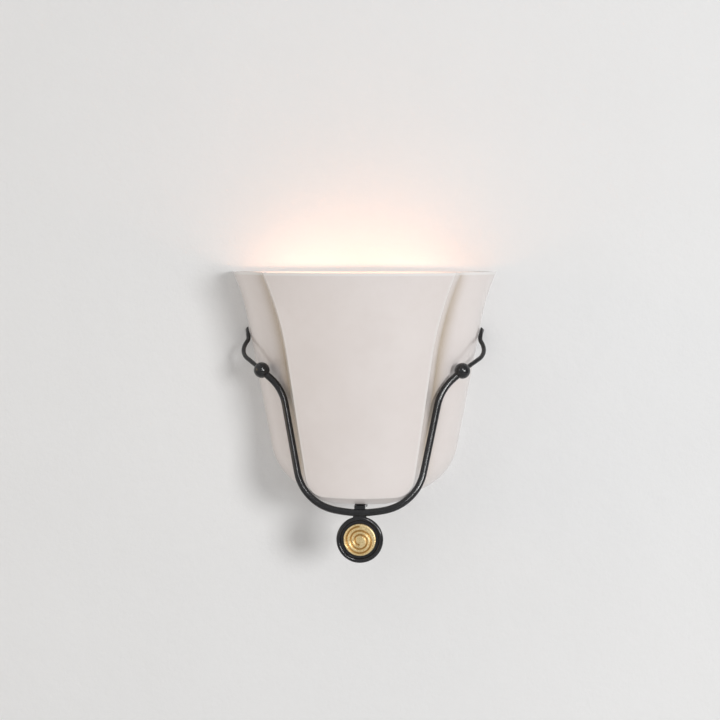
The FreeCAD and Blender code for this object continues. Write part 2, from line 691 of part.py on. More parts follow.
def ring_torus():
    return Part.makeTorus(RING_MIDDLE, size("ring_rod") / 2, RING_CENTRE, Vec(0, -1, 0))


def ring_shape():
    """A ring of round rod hung under the bow, with the weld that fills the corners between them."""
    width, thick = size("weld_width"), size("weld_thick")
    low = RING_Z + RING_MIDDLE
    weld = Part.makeBox(width, thick, BOW_Z - low, Vec(-width / 2, -BOW_DEPTH - thick / 2, low))
    return ring_torus().fuse(weld).cut(bow_shape())


CUP_BACK = BOW_DEPTH - size("ring_rod") / 2


def cup_shape():
    """The black plate that closes the ring's back and carries the medallion."""
    out = Vec(0, -1, 0)
    plate = Part.makeCylinder(RING_MIDDLE, size("cup_thick"), Vec(0, -CUP_BACK, RING_Z), out)
    stud_hole = size("medal_stud") / 2 + size("medal_stud_play")
    hole = Part.makeCylinder(stud_hole, size("cup_thick"), Vec(0, -CUP_BACK, RING_Z), out)
    return plate.cut(ring_torus()).cut(hole)


def spiral_route(depth):
    """The spiral groove's middle line: half turns, each half a pitch tighter, winding in
    anticlockwise from the top."""
    radius, step = size("spiral_start"), size("spiral_pitch") / 2
    centre, side, edges = 0.0, 1, []
    while radius > step + size("spiral_groove"):
        high = Vec(0, -depth, RING_Z + centre + side * radius)
        flank = Vec(-side * radius, -depth, RING_Z + centre)
        low = Vec(0, -depth, RING_Z + centre - side * radius)
        edges.append(arc(high, flank, low))
        radius -= step
        centre -= side * step
        side = -side
    return edges


def medallion_shape():
    """A turned disc with a rounded edge, a spiral groove cut in its face and a stud behind."""
    out = Vec(0, -1, 0)
    back = CUP_BACK + size("cup_thick")
    thick = size("medal_thick")
    disc = Part.makeCylinder(size("medal_size") / 2, thick, Vec(0, -back, RING_Z), out)
    front = [e for e in disc.Edges if e.BoundBox.YMax < -back - thick + 0.01]
    disc = disc.makeFillet(size("medal_edge"), front)
    face = back + thick
    route = spiral_route(face)
    start = route[0].valueAt(route[0].FirstParameter)
    groove = sweep(route, ring_of(size("spiral_groove"), start, Vec(1, 0, 0)))
    stud = Part.makeCylinder(size("medal_stud") / 2, size("cup_thick") + size("medal_nut_thick"),
                             Vec(0, -back, RING_Z), Vec(0, 1, 0))
    return disc.cut(groove).fuse(stud)


# ---------------------------------------------------------------- lamp

def bulb_outline(inset):
    """Side view of the bulb: a short neck and a line that runs tangent into the globe."""
    globe = size("bulb_size") / 2
    neck, low = size("bulb_neck"), size("bulb_neck_rise")
    centre = size("bulb_tall") - globe
    r = globe - inset
    gap = math.hypot(neck - inset, centre - low)
    swing = math.acos(r / gap) - math.atan2(centre - low, neck - inset)
    touch = (r * math.cos(swing), centre + r * math.sin(swing))
    half = (math.pi / 2 + swing) / 2
    foot = value("Sizes.socket_bore / 2 - Sizes.bulb_play") - inset
    base = value(BULB_GLASS)

    def at(x, z):
        return Vec(x, 0, base + z)
    crown = arc(at(*touch), at(r * math.cos(half), centre + r * math.sin(half)), at(0, centre + r))
    return Part.Face(Part.Wire([
        line(at(0, 0), at(foot, 0)),
        line(at(foot, 0), at(neck - inset, low)),
        line(at(neck - inset, low), at(*touch)),
        crown,
        line(at(0, centre + r), at(0, 0)),
    ]))


def bulb_glass_shape():
    def spun(inset):
        return bulb_outline(inset).revolve(Vec(0, 0, 0), Vec(0, 0, 1), 360)
    glass = spun(0).cut(spun(size("bulb_wall")))
    glass.translate(Vec(0, -size("lamp_depth"), 0))
    return glass


# ---------------------------------------------------------------- the pieces

places = doc.addObject("Spreadsheet::Sheet", "Places")
worked_out = {"ball_x": BALL_X, "ball_depth": BALL_DEPTH, "ball_z": BALL_Z,
              "ring_z": RING_Z, "cup_back": CUP_BACK}
for row, (alias, number) in enumerate(worked_out.items(), start=1):
    places.set(f"A{row}", str(number))
    places.setAlias(f"A{row}", alias)
doc.recompute()

part("shade", formed("Shade", shade_shape()))


def felt_pads():
    """Four pads between the shade's back and the wall."""
    half = "Sizes.pad_size / 2"
    high = ("Sizes.pad_share_high * Sizes.rim_half_width", "Sizes.rim_height - Sizes.neck_drop")
    low = ("Sizes.pad_share_low * Sizes.rim_half_width", f"{FLOOR} + Sizes.bowl_shoulder")
    spots = [(f"{side} * {x}", z) for x, z in (high, low) for side in ("-1", "1")]
    pads = [block(f"Pad{i}", "Sizes.pad_size", "Sizes.shade_gap", "Sizes.pad_size",
                  f"{x} - {half}", "0", f"{z} - {half}") for i, (x, z) in enumerate(spots)]
    return join("Pads", *pads)


part("felt_pads", felt_pads())

# Iron cradle
part("bow", formed("Bow", bow_shape()))
for name, side in (("right", 1), ("left", -1)):
    ball = doc.addObject("Part::Sphere", f"Ball_{name}")
    bind(ball, {"Radius": "Sizes.ball_size / 2"})
    place(ball, x=f"{side} * Places.ball_x", depth="Places.ball_depth", z="Places.ball_z")
    part(f"ball_{name}", ball)
    part(f"hook_{name}", formed(f"Hook_{name}", hook_shape(side)))
part("foot_bar", formed("FootBar", foot_bar_shape()))
part("ring", formed("Ring", ring_shape()))
part("medallion_plate", formed("MedallionPlate", cup_shape()))
part("medallion", formed("Medallion", medallion_shape()))


def medallion_nut():
    nut = doc.addObject("Part::Prism", "MedalNutHex")
    nut.Polygon = 6
    bind(nut, {"Circumradius": "Sizes.medal_nut_flats / sqrt(3)", "Height": "Sizes.medal_nut_thick"})
    spot = {"depth": "Places.cup_back - Sizes.medal_nut_thick", "z": "Places.ring_z", "turn": OUT_OF_WALL}
    place(nut, **spot)
    thread = rod("MedalNutThread", "Sizes.medal_stud / 2", "Sizes.medal_nut_thick", **spot)
    return cut("MedalNut", nut, thread)


part("medallion_nut", medallion_nut())


# Wall bracket
def wall_bracket():
    """A steel strip with a slot for each wall box screw, tapped holes for the bar's and the
    ground screw, and a hole for the wires."""
    strip = block("Strip", "Sizes.bracket_long", "Sizes.bracket_thick", "Sizes.bracket_wide",
                  "-Sizes.bracket_long / 2", "0", "-Sizes.bracket_wide / 2")
    tools = []
    thick = "Sizes.bracket_thick"
    for name, side in (("Left", "-1"), ("Right", "1")):
        middle = f"{side} * Sizes.box_spacing / 2"
        run = "(Sizes.slot_long - Sizes.slot_width) / 2"
        for end, way in (("Near", "-"), ("Far", "+")):
            tools.append(rod(f"Slot{name}{end}", "Sizes.slot_width / 2", thick,
                             x=f"{middle} {way} {run}", turn=OUT_OF_WALL))
        tools.append(block(f"Slot{name}Middle", f"2 * {run}", thick, "Sizes.slot_width",
                           f"{middle} - {run}", "0", "-Sizes.slot_width / 2"))
    tools.append(rod("WireHole", "Sizes.wire_hole / 2", thick, x="-Sizes.wire_hole_off", turn=OUT_OF_WALL))
    tools.append(rod("GroundHole", "Sizes.strap_screw / 2", thick, x="Sizes.ground_off", turn=OUT_OF_WALL))
    for name, side in (("Low", "-1"), ("High", "1")):
        tools.append(rod(f"StrapHole{name}", "Sizes.strap_screw / 2", thick,
                         z=f"{side} * Sizes.strap_screw_rise", turn=OUT_OF_WALL))
    return cut("Bracket", strip, *tools)


def pan_screw(name, seat, length, **where):
    """A pan-headed screw that stands out of the wall; seat is its head's depth from the wall."""
    head = rod(f"{name}Head", "Sizes.strap_head / 2", "Sizes.strap_head_tall",
               depth=seat, turn=OUT_OF_WALL, **where)
    shank = rod(f"{name}Shank", "Sizes.strap_screw / 2", length, depth=f"{seat} - ({length})",
                turn=OUT_OF_WALL, **where)
    return join(name, head, shank)


def wire_bushing():
    spot = {"x": "-Sizes.wire_hole_off", "turn": OUT_OF_WALL}
    bore = "Sizes.wire_hole / 2 - Sizes.bushing_wall"
    long = "Sizes.bracket_thick + Sizes.bushing_flange"
    neck = rod("BushNeck", "Sizes.wire_hole / 2", long, **spot)
    flange = rod("BushFlange", "Sizes.wire_hole / 2 + Sizes.bushing_lip", "Sizes.bushing_flange",
                 depth="Sizes.bracket_thick", **spot)
    return cut("Bushing", join("BushBody", neck, flange), rod("BushBore", bore, long, **spot))


part("wall_bracket", wall_bracket())
part("wire_bushing", wire_bushing())
part("ground_screw",
     pan_screw("GroundScrew", "Sizes.bracket_thick", "Sizes.bracket_thick", x="Sizes.ground_off"))
part("bar_screws", join("BarScrews",
                        pan_screw("BarScrewLow", BAR_FACE, BAR_FACE, z="-Sizes.strap_screw_rise"),
                        pan_screw("BarScrewHigh", BAR_FACE, BAR_FACE, z="Sizes.strap_screw_rise")))


# Lamp column
def on_lamp(name, radius, height, z):
    return rod(name, radius, height, depth="Sizes.lamp_depth", z=z)


def washer(name, radius, height, z, bore=TUBE_HOLE):
    """A flat ring round the lamp's axis."""
    return cut(name, on_lamp(f"{name}Disc", radius, height, z), on_lamp(f"{name}Bore", bore, height, z))


THREAD = "Sizes.nipple_size / 2"
NIPPLE_FOOT = f"({BAR_UNDERSIDE} - Sizes.foot_nut_tall + Sizes.foot_nut_skin)"
nut_body = on_lamp("FootNutBody", "Sizes.foot_nut_size / 2", "Sizes.foot_nut_tall",
                   f"{BAR_UNDERSIDE} - Sizes.foot_nut_tall")
nut_thread = on_lamp("FootNutThread", THREAD, "Sizes.foot_nut_tall - Sizes.foot_nut_skin", NIPPLE_FOOT)
part("foot_nut", cut("FootNut", nut_body, nut_thread))
part("foot_pad", washer("FootPad", "Sizes.gasket_size / 2", "Sizes.foot_pad_thick", BAR_TOP_FACE))
part("floor_gasket",
     washer("FloorGasket", "Sizes.gasket_size / 2", "Sizes.gasket_thick", INNER_FLOOR))
part("floor_washer", washer("FloorWasher", "Sizes.washer_size / 2", "Sizes.washer_thick", GASKET_TOP))
lock_hex = hexagon("LockHex", "Sizes.nut_flats", "Sizes.nut_thick", depth="Sizes.lamp_depth", z=WASHER_TOP)
part("lock_nut", cut("LockNut", lock_hex, on_lamp("LockThread", THREAD, "Sizes.nut_thick", WASHER_TOP)))
NIPPLE_LONG = f"({RISER_TOP} + Sizes.nipple_grip - {NIPPLE_FOOT})"
part("threaded_tube", washer("ThreadedTube", THREAD, NIPPLE_LONG, NIPPLE_FOOT, "Sizes.nipple_bore / 2"))
part("riser_tube", washer("RiserTube", "Sizes.riser_size / 2", "Sizes.riser_tall", NUT_TOP))


# Lampholder
def lampholder_cap():
    """A thin cup, open upwards, on a hub that is screwed to the threaded tube."""
    cup = on_lamp("CapCup", "Sizes.cap_size / 2", "Sizes.cap_tall", RISER_TOP)
    hollow = on_lamp("CapHollow", "Sizes.cap_size / 2 - Sizes.cap_wall", "Sizes.cap_tall - Sizes.cap_wall",
                     f"{RISER_TOP} + Sizes.cap_wall")
    hub = on_lamp("CapHub", "Sizes.cap_hub / 2", "Sizes.nipple_grip", RISER_TOP)
    thread = on_lamp("CapThread", THREAD, "Sizes.nipple_grip", RISER_TOP)
    return cut("Cap", join("CapBody", cut("CapShell", cup, hollow), hub), thread)


def terminal_screws():
    """Two screws under the porcelain, where the wires are clamped."""
    screws = []
    for name, side in (("L", "-1"), ("R", "1")):
        where = {"x": f"{side} * Sizes.terminal_off", "depth": "Sizes.lamp_depth"}
        screws.append(rod(f"Terminal{name}", "Sizes.terminal_head / 2", "Sizes.terminal_tall",
                          z=f"{CAP_TOP} - Sizes.terminal_tall", **where))
    return join("Terminals", *screws)


INNER_SHELL = "(Sizes.holder_size / 2 - Sizes.holder_wall)"
part("lampholder_cap", lampholder_cap())
part("lampholder_shell",
     washer("HolderShell", "Sizes.holder_size / 2", "Sizes.holder_tall", CAP_TOP, INNER_SHELL))
part("lampholder_insulator", on_lamp("Insulator", INNER_SHELL, "Sizes.insulator_thick", CAP_TOP))
part("terminal_screws", terminal_screws())
part("screw_shell", washer("ScrewShell", "Sizes.socket_bore / 2 + Sizes.socket_wall", "Sizes.socket_tall",
                           INSULATOR_TOP, "Sizes.socket_bore / 2"))
part("middle_contact",
     on_lamp("MiddleContact", "Sizes.contact_size / 2", "Sizes.contact_tall", INSULATOR_TOP))

# Bulb
BASE_RADIUS = "(Sizes.socket_bore / 2 - Sizes.bulb_play)"
part("bulb_contact", on_lamp("BulbTip", "Sizes.bulb_tip_size / 2", "Sizes.bulb_tip_tall", BULB_TIP))
seal = doc.addObject("Part::Cone", "BulbSeal")
bind(seal, {"Radius1": "Sizes.bulb_tip_size / 2", "Radius2": BASE_RADIUS, "Height": "Sizes.bulb_seal_tall"})
part("bulb_seal", place(seal, depth="Sizes.lamp_depth", z=BULB_SEAL))
part("bulb_base", washer("BulbBase", BASE_RADIUS, "Sizes.bulb_base_tall", BULB_BASE,
                         f"{BASE_RADIUS} - Sizes.bulb_base_wall"))
part("bulb_glass", formed("BulbGlass", bulb_glass_shape()))


def bulb_stem():
    """Glass foot, stem and collar inside the bulb."""
    foot = on_lamp("StemFoot", f"{BASE_RADIUS} - Sizes.bulb_base_wall", "Sizes.stem_disc",
                   f"{BULB_GLASS} - Sizes.stem_disc")
    stem = on_lamp("Stem", "Sizes.stem_size / 2", "Sizes.stem_tall", BULB_GLASS)
    collar = on_lamp("StemCollar", "Sizes.collar_size / 2", "Sizes.stem_disc",
                     f"{BULB_GLASS} + Sizes.collar_rise")
    return join("BulbStem", foot, stem, collar)


def filaments():
    """The light-giving rods, in a circle on the collar."""
    rods = []
    for i in range(int(size("filament_count"))):
        angle = 360 * (i + 0.5) / size("filament_count")
        rods.append(rod(f"Filament{i}", "Sizes.filament_size / 2", "Sizes.filament_long",
                        x=f"Sizes.filament_circle / 2 * cos({angle} deg)",
                        depth=f"Sizes.lamp_depth + Sizes.filament_circle / 2 * sin({angle} deg)",
                        z=f"{BULB_GLASS} + Sizes.collar_rise + Sizes.stem_disc"))
    return join("Filaments", *rods)


part("bulb_stem", bulb_stem())
part("bulb_filaments", filaments())

# ---------------------------------------------------------------- check and write

doc.recompute()
for thing in doc.Objects:
    if "Invalid" in thing.State or "Error" in thing.State:
        raise RuntimeError(f"{thing.Name} failed: {thing.State}")
for thing in PARTS:
    if thing.Shape.isNull() or not thing.Shape.isValid() or not thing.Shape.Solids:
        raise RuntimeError(f"{thing.Label} has no valid solid")

os.makedirs("parts", exist_ok=True)
for thing in PARTS:
    thing.Shape.exportStep(f"parts/{thing.Label}.step")
    print(f"{thing.Label}: {len(thing.Shape.Solids)} solid(s), {thing.Shape.Volume / 1000:.1f} cm3")
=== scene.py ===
import math

import bpy
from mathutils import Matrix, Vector


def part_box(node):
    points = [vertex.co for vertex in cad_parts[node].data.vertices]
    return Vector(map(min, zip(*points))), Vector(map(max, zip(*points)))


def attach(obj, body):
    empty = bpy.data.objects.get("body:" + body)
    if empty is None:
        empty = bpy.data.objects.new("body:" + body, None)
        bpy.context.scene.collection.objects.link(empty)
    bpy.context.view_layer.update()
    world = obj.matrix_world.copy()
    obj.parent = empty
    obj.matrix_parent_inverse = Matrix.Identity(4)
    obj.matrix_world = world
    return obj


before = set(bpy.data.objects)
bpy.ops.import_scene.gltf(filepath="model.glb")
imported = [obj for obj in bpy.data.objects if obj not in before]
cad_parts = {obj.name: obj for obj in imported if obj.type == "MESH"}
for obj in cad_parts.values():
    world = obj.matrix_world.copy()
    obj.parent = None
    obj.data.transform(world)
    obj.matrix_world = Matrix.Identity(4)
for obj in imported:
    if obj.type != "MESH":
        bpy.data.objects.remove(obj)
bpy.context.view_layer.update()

# ------------------------------------------------------------------ the camera and the room
# The sconce hangs on a pale plaster wall and is seen from a little to the right of its middle
# and a little above its rim. The wall is see-through from behind and casts no shadow, so that
# the sconce's back can be lit and looked at too. A pale grey floor lies far below.
VIEW_TURN, VIEW_DIP = 3.0, 3.8
VIEW_FROM, AIM_X, EYE_HEIGHT = 1.97, -0.0052, 0.158
LENS, FILM_WIDE = 85, 36
NEAREST, FARTHEST = 0.05, 50

turn = math.radians(VIEW_TURN)
camera = bpy.data.objects.new("camera", bpy.data.cameras.new("camera"))
bpy.context.scene.collection.objects.link(camera)
camera.location = (AIM_X + VIEW_FROM * math.sin(turn), -VIEW_FROM * math.cos(turn), EYE_HEIGHT)
camera.rotation_euler = (math.radians(90 - VIEW_DIP), 0, turn)
camera.data.lens, camera.data.sensor_width = LENS, FILM_WIDE
camera.data.clip_start, camera.data.clip_end = NEAREST, FARTHEST
bpy.context.scene.camera = camera
bpy.context.scene.view_settings.view_transform = "Standard"

MM = 0.001
WHITE = (1, 1, 1)
EDGE_RAYS = 8
# A Mix node has its own sockets for each kind of thing it mixes: two inputs and the result.
MIX_SOCKETS = {"FLOAT": (2, 3, 0), "VECTOR": (4, 5, 1), "RGBA": (6, 7, 2)}


class Nodes:
    """Adds nodes to a node tree and joins them."""

    def __init__(self, tree):
        self.tree = tree

    def join(self, source, socket):
        """Feeds a socket from another node's output, or sets it to a number, place or colour."""
        if isinstance(source, bpy.types.NodeSocket):
            self.tree.links.new(source, socket)
        elif socket.type == "RGBA":
            socket.default_value = (*source, 1)
        else:
            socket.default_value = source

    def node(self, kind, inputs=None, **settings):
        made = self.tree.nodes.new(kind)
        for name, setting in settings.items():
            setattr(made, name, setting)
        for socket, source in (inputs or {}).items():
            self.join(source, made.inputs[socket])
        return made

    def mix(self, share, first, second, kind="RGBA"):
        """Mixes two colours or, by another kind, two numbers or directions."""
        to_first, to_second, result = MIX_SOCKETS[kind]
        inputs = {0: share, to_first: first, to_second: second}
        return self.node("ShaderNodeMix", inputs, data_type=kind).outputs[result]


class Finish(Nodes):
    """A surface finish: one shader and the nodes that colour it."""

    def __init__(self, name, **sockets):
        self.material = bpy.data.materials.new(name)
        self.material.use_nodes = True
        super().__init__(self.material.node_tree)
        self.shader = self.tree.nodes["Principled BSDF"]
        self.where = self.node("ShaderNodeTexCoord").outputs["Object"]
        self.feed(**sockets)

    def feed(self, **sockets):
        """Feeds the shader's sockets. Their names are written with _ for a space."""
        for name, source in sockets.items():
            self.join(source, self.shader.inputs[name.replace("_", " ")])

    def noise(self, per_metre, detail=3.0, rough=0.5, stretch=None):
        """A pattern of soft spots, so many to the metre. Stretched, it draws fibres or brushing."""
        where = self.where
        if stretch:
            where = self.node("ShaderNodeMapping", {"Vector": where, "Scale": stretch}).outputs["Vector"]
        inputs = {"Vector": where, "Scale": per_metre, "Detail": detail, "Roughness": rough}
        return self.node("ShaderNodeTexNoise", inputs).outputs["Fac"]

    def ramp(self, pattern, low, high, start=0.35, stop=0.65):
        """Turns a pattern into a number that runs from low to high."""
        inputs = {"Value": pattern, "From Min": start, "From Max": stop, "To Min": low, "To Max": high}
        return self.node("ShaderNodeMapRange", inputs).outputs["Result"]

    def relief(self, pattern, depth, under=None):
        """Raises a pattern from the surface, or from another relief under it."""
        inputs = {"Height": pattern, "Strength": 1.0, "Distance": depth}
        if under:
            inputs["Normal"] = under
        return self.node("ShaderNodeBump", inputs).outputs["Normal"]

    def rounded(self, radius):
        """The way the surface faces, as if its edges were rounded."""
        return self.node("ShaderNodeBevel", {"Radius": radius}, samples=EDGE_RAYS).outputs["Normal"]

    def let_through(self, share):
        """Lets that share of the rays straight through the surface."""
        clear = self.node("ShaderNodeBsdfTransparent").outputs[0]
        both = self.node("ShaderNodeMixShader", {0: share, 1: self.shader.outputs[0], 2: clear})
        self.join(both.outputs[0], self.tree.nodes["Material Output"].inputs["Surface"])

    def on_nodes(self, *names):
        """Puts the finish in the material slots of CAD nodes."""
        for name in names:
            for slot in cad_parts[name].material_slots:
                slot.material = self.material


ROOM_WIDE, FLOOR_DROP = 8.0, 1.5
UPRIGHT, LEVEL = (math.pi / 2, 0, 0), (0, 0, 0)


def room_sheet(name, place, turned, finish):
    """A square sheet of the room, which is no part of the sconce."""
    bpy.ops.mesh.primitive_plane_add(size=ROOM_WIDE, location=place, rotation=turned)
    sheet = bpy.context.object
    sheet.name = name
    bpy.ops.object.transform_apply(location=True, rotation=True, scale=True)
    sheet.data.materials.append(finish.material)


# A pattern's numbers are its spots to the metre, its detail and its roughness.
PLASTER_DULL, PLASTER = (0.8274, 0.8274, 0.8274), (0.84, 0.84, 0.84)
PLASTER_PATCHES, TROWEL_MARKS, PLASTER_GRIT = (5, 4, 0.6), (22, 5, 0.62), (260, 2, 0.5)
TROWEL_DEEP, GRIT_DEEP = 1.6 * MM, 0.12 * MM

plaster = Finish("pale_plaster", Roughness=0.9, Specular_IOR_Level=0.1)
patchy = plaster.ramp(plaster.noise(*PLASTER_PATCHES), 0, 1)
trowelled = plaster.relief(plaster.noise(*TROWEL_MARKS), TROWEL_DEEP)
plaster.feed(Base_Color=plaster.mix(patchy, PLASTER_DULL, PLASTER),
             Normal=plaster.relief(plaster.noise(*PLASTER_GRIT), GRIT_DEEP, trowelled))
from_behind = plaster.node("ShaderNodeNewGeometry").outputs["Backfacing"]
shadow_ray = plaster.node("ShaderNodeLightPath").outputs["Is Shadow Ray"]
either = plaster.node("ShaderNodeMath", {0: from_behind, 1: shadow_ray}, operation="MAXIMUM")
plaster.let_through(either.outputs[0])
room_sheet("wall", (0, 0, 0), UPRIGHT, plaster)

FLOOR_DULL, FLOOR_GREY = (0.588, 0.588, 0.588), (0.60, 0.60, 0.60)
FLOOR_SPOTS = 3

floor_finish = Finish("pale_floor", Roughness=0.8, Specular_IOR_Level=0.1)
floor_finish.feed(Base_Color=floor_finish.mix(floor_finish.noise(FLOOR_SPOTS), FLOOR_DULL, FLOOR_GREY))
room_sheet("floor", (0, 0, -FLOOR_DROP), LEVEL, floor_finish)

# The light of a pale room, stronger from the left and from above. The camera sees it plain.
ROOM_LIGHT, ROOM_LEAN, ROOM_SEEN = 0.48, (-0.25, 0.0, 0.14), 0.80

world = bpy.data.worlds.new("room")
world.use_nodes = True
world.cycles.sampling_method = "NONE"
bpy.context.scene.world = world
room = Nodes(world.node_tree)
background = world.node_tree.nodes["Background"]
ray_way = room.node("ShaderNodeTexCoord").outputs["Generated"]
leaning = room.node("ShaderNodeVectorMath", {0: ray_way, 1: ROOM_LEAN}, operation="DOT_PRODUCT")
room_level = room.node("ShaderNodeMath", {0: leaning.outputs["Value"], 1: ROOM_LIGHT}, operation="ADD")
camera_ray = room.node("ShaderNodeLightPath").outputs["Is Camera Ray"]
room.join(WHITE, background.inputs["Color"])
room.join(room.mix(camera_ray, room_level.outputs[0], ROOM_SEEN, "FLOAT"), background.inputs["Strength"])

# A large soft lamp in front on the right, a tall narrow one that only draws the glints on the
# iron, a weak warm one from the left along the wall, and one behind the wall, for the views
# from there. A turn is to the right and a rise is upwards, both in degrees.
LAMP_AIM = (0, -0.06, 0)
KEY_TURN, KEY_RISE, KEY_FAR, KEY_WIDE, KEY_WATTS = 34, 5, 4.2, 1.2, 80
GLINT_TURN, GLINT_RISE, GLINT_FAR, GLINT_WIDE, GLINT_TALL, GLINT_WATTS = 13, 19, 3.0, 0.2, 1.7, 30
SIDE_TURN, SIDE_RISE, SIDE_FAR, SIDE_WIDE, SIDE_WATTS, SIDE_WARM = -74, 8, 2.4, 0.8, 4, (1, 0.70, 0.36)
BACK_FAR, BACK_HIGH, BACK_WIDE, BACK_WATTS = 1.7, 0.4, 1.5, 12
BLACK_IRON = ("bow", "ball_left", "ball_right", "hook_left", "hook_right", "foot_bar", "ring",
              "medallion_plate", "foot_nut")


def soft_lamp(name, place, aim, wide, watts, colour=WHITE, tall=None):
    """A round soft lamp or, with tall, an oblong one."""
    lamp = bpy.data.objects.new(name, bpy.data.lights.new(name, "AREA"))
    bpy.context.scene.collection.objects.link(lamp)
    lamp.location = place
    lamp.rotation_euler = (Vector(aim) - Vector(place)).to_track_quat("-Z", "Y").to_euler()
    lamp.data.shape, lamp.data.size = "DISK", wide
    if tall:
        lamp.data.shape, lamp.data.size_y = "RECTANGLE", tall
    lamp.data.energy, lamp.data.color = watts, colour
    return lamp


def from_sconce(turned, rise, far):
    """A place in the room, by its angles and its distance as seen from the sconce."""
    turned, rise = math.radians(turned), math.radians(rise)
    level_far = far * math.cos(rise)
    return level_far * math.sin(turned), -level_far * math.cos(turned), far * math.sin(rise)


soft_lamp("key", from_sconce(KEY_TURN, KEY_RISE, KEY_FAR), LAMP_AIM, KEY_WIDE, KEY_WATTS)
glint = soft_lamp("glint", from_sconce(GLINT_TURN, GLINT_RISE, GLINT_FAR), LAMP_AIM, GLINT_WIDE, GLINT_WATTS,
                  tall=GLINT_TALL)
glint.light_linking.receiver_collection = bpy.data.collections.new("lit_by_glint")
for piece in BLACK_IRON:
    glint.light_linking.receiver_collection.objects.link(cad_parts[piece])
soft_lamp("side", from_sconce(SIDE_TURN, SIDE_RISE, SIDE_FAR), LAMP_AIM, SIDE_WIDE, SIDE_WATTS, SIDE_WARM)
behind = soft_lamp("behind", (0, BACK_FAR, BACK_HIGH), (0, 0, 0), BACK_WIDE, BACK_WATTS)
behind.data.cycles.use_multiple_importance_sampling = False
behind.visible_glossy = False

# ------------------------------------------------------------------ the shade
# A half-tulip of slip-cast ceramic: a bowl with a tongue-shaped front panel raised on it, and a
# flat back with a window, under a thick gloss glaze. The valleys beside the panel are painted a
# dark tan, a painted shade, and the ridges a paler line, partly thinner glaze and partly a painted
# highlight. The shade stands on the cradle's foot bar, just off the wall.
GLAZE, GLAZE_CLOUD, GLAZE_BLOTCH = (0.785, 0.722, 0.695), (0.815, 0.755, 0.730), (0.760, 0.693, 0.660)
# Painted shade for the valleys beside the panel, then the ridges' paler tone: thinner glaze with a painted
# highlight.
GLAZE_VALLEY_SHADE, GLAZE_THIN_AND_HIGHLIGHT = (0.47, 0.37, 0.25), (0.89, 0.875, 0.86)
CLOUDS, BLOTCHES, SLOW_WAVES, GLAZE_SKIN = (14, 4, 0.55), (70, 3, 0.5), (18, 1, 0.4), (900, 2, 0.5)
WAVE_DEEP, SKIN_DEEP = 1.2 * MM, 0.015 * MM
CLOUD_FROM, CLOUD_TO, BLOTCH_FROM, BLOTCH_TO = 0.3, 0.7, 0.45, 0.8
BLOTCH_MOST, VALLEY_MOST, RIDGE_MOST = 0.35, 1, 0.7
VALLEY_WIDE, VALLEY_ROUND, RIDGE_WIDE = 26 * MM, 7 * MM, 3.5 * MM
VALLEY_RAYS = 12
# The share of free rays where a valley or a ridge begins, and where it is at its fullest.
OPEN, SHUT_IN = 0.98, 0.84

glaze = Finish("off_white_glaze", Roughness=0.32, Coat_Weight=0.7, Coat_Roughness=0.06, Coat_IOR=1.5)


def shut_in(reach, rays, most, inside=False):
    """Runs from 0 on open glaze to most in a valley or, from inside the wall, on a ridge."""
    free = glaze.node("ShaderNodeAmbientOcclusion", {"Distance": reach}, samples=rays, inside=inside,
                      only_local=True)
    return glaze.ramp(free.outputs["AO"], 0, most, OPEN, SHUT_IN)


cloudy = glaze.ramp(glaze.noise(*CLOUDS), 0, 1, CLOUD_FROM, CLOUD_TO)
blotchy = glaze.ramp(glaze.noise(*BLOTCHES), 0, BLOTCH_MOST, BLOTCH_FROM, BLOTCH_TO)
in_valley = shut_in(VALLEY_WIDE, VALLEY_RAYS, VALLEY_MOST)
on_ridge = shut_in(RIDGE_WIDE, EDGE_RAYS, RIDGE_MOST, inside=True)
mottled = glaze.mix(blotchy, glaze.mix(cloudy, GLAZE, GLAZE_CLOUD), GLAZE_BLOTCH)
# Painted shade: the valleys, found by how few rays get out, take the dark tan colour.
valley_shaded = glaze.mix(in_valley, mottled, GLAZE_VALLEY_SHADE)
facing = glaze.node("ShaderNodeNewGeometry").outputs["Normal"]
filled = glaze.mix(in_valley, facing, glaze.rounded(VALLEY_ROUND), "VECTOR")
wavy = glaze.relief(glaze.noise(*SLOW_WAVES), WAVE_DEEP, filled)
# The ridges take a paler tone: partly thinner glaze, partly a painted highlight.
glaze.feed(Base_Color=glaze.mix(on_ridge, valley_shaded, GLAZE_THIN_AND_HIGHLIGHT), Coat_Normal=wavy,
           Normal=glaze.relief(glaze.noise(*GLAZE_SKIN), SKIN_DEEP, wavy))
glaze.on_nodes("shade")

# Four felt pads, cut square and glued to the shade's back where it bears on the wall.
FELT_DARK, FELT_PALE = (0.36, 0.36, 0.35), (0.60, 0.60, 0.58)
FIBRES, FIBRE_STRETCH, FIBRE_DEEP = (2600, 4, 0.7), (1, 1, 0.5), 0.3 * MM

felt = Finish("grey_felt", Roughness=0.95, Sheen_Weight=0.4, Specular_IOR_Level=0.2)
fibres = felt.noise(*FIBRES, FIBRE_STRETCH)
felt.feed(Base_Color=felt.mix(felt.ramp(fibres, 0, 1), FELT_DARK, FELT_PALE),
          Normal=felt.relief(fibres, FIBRE_DEEP))
felt.on_nodes("felt_pads")

# ------------------------------------------------------------------ the iron cradle
# One round rod bent to the front panel's outline, a forged ball at each end, a thin hook from
# each ball round the side of the shade, a flat foot bar under it and a ring for the medallion.
# All of it is wrought iron, blackened and waxed to a satin.
IRON, IRON_WORN = (0.006, 0.006, 0.0065), (0.013, 0.013, 0.0145)
IRON_SMOOTH, IRON_ROUGH = 0.11, 0.18
HAMMER_MARKS, WORN_SPOTS, WAX, IRON_GRAIN = (120, 3, 0.5), (420, 4, 0.6), (160, 3), (2200, 3, 0.6)
HAMMER_DEEP, IRON_GRAIN_DEEP = 0.04 * MM, 0.004 * MM

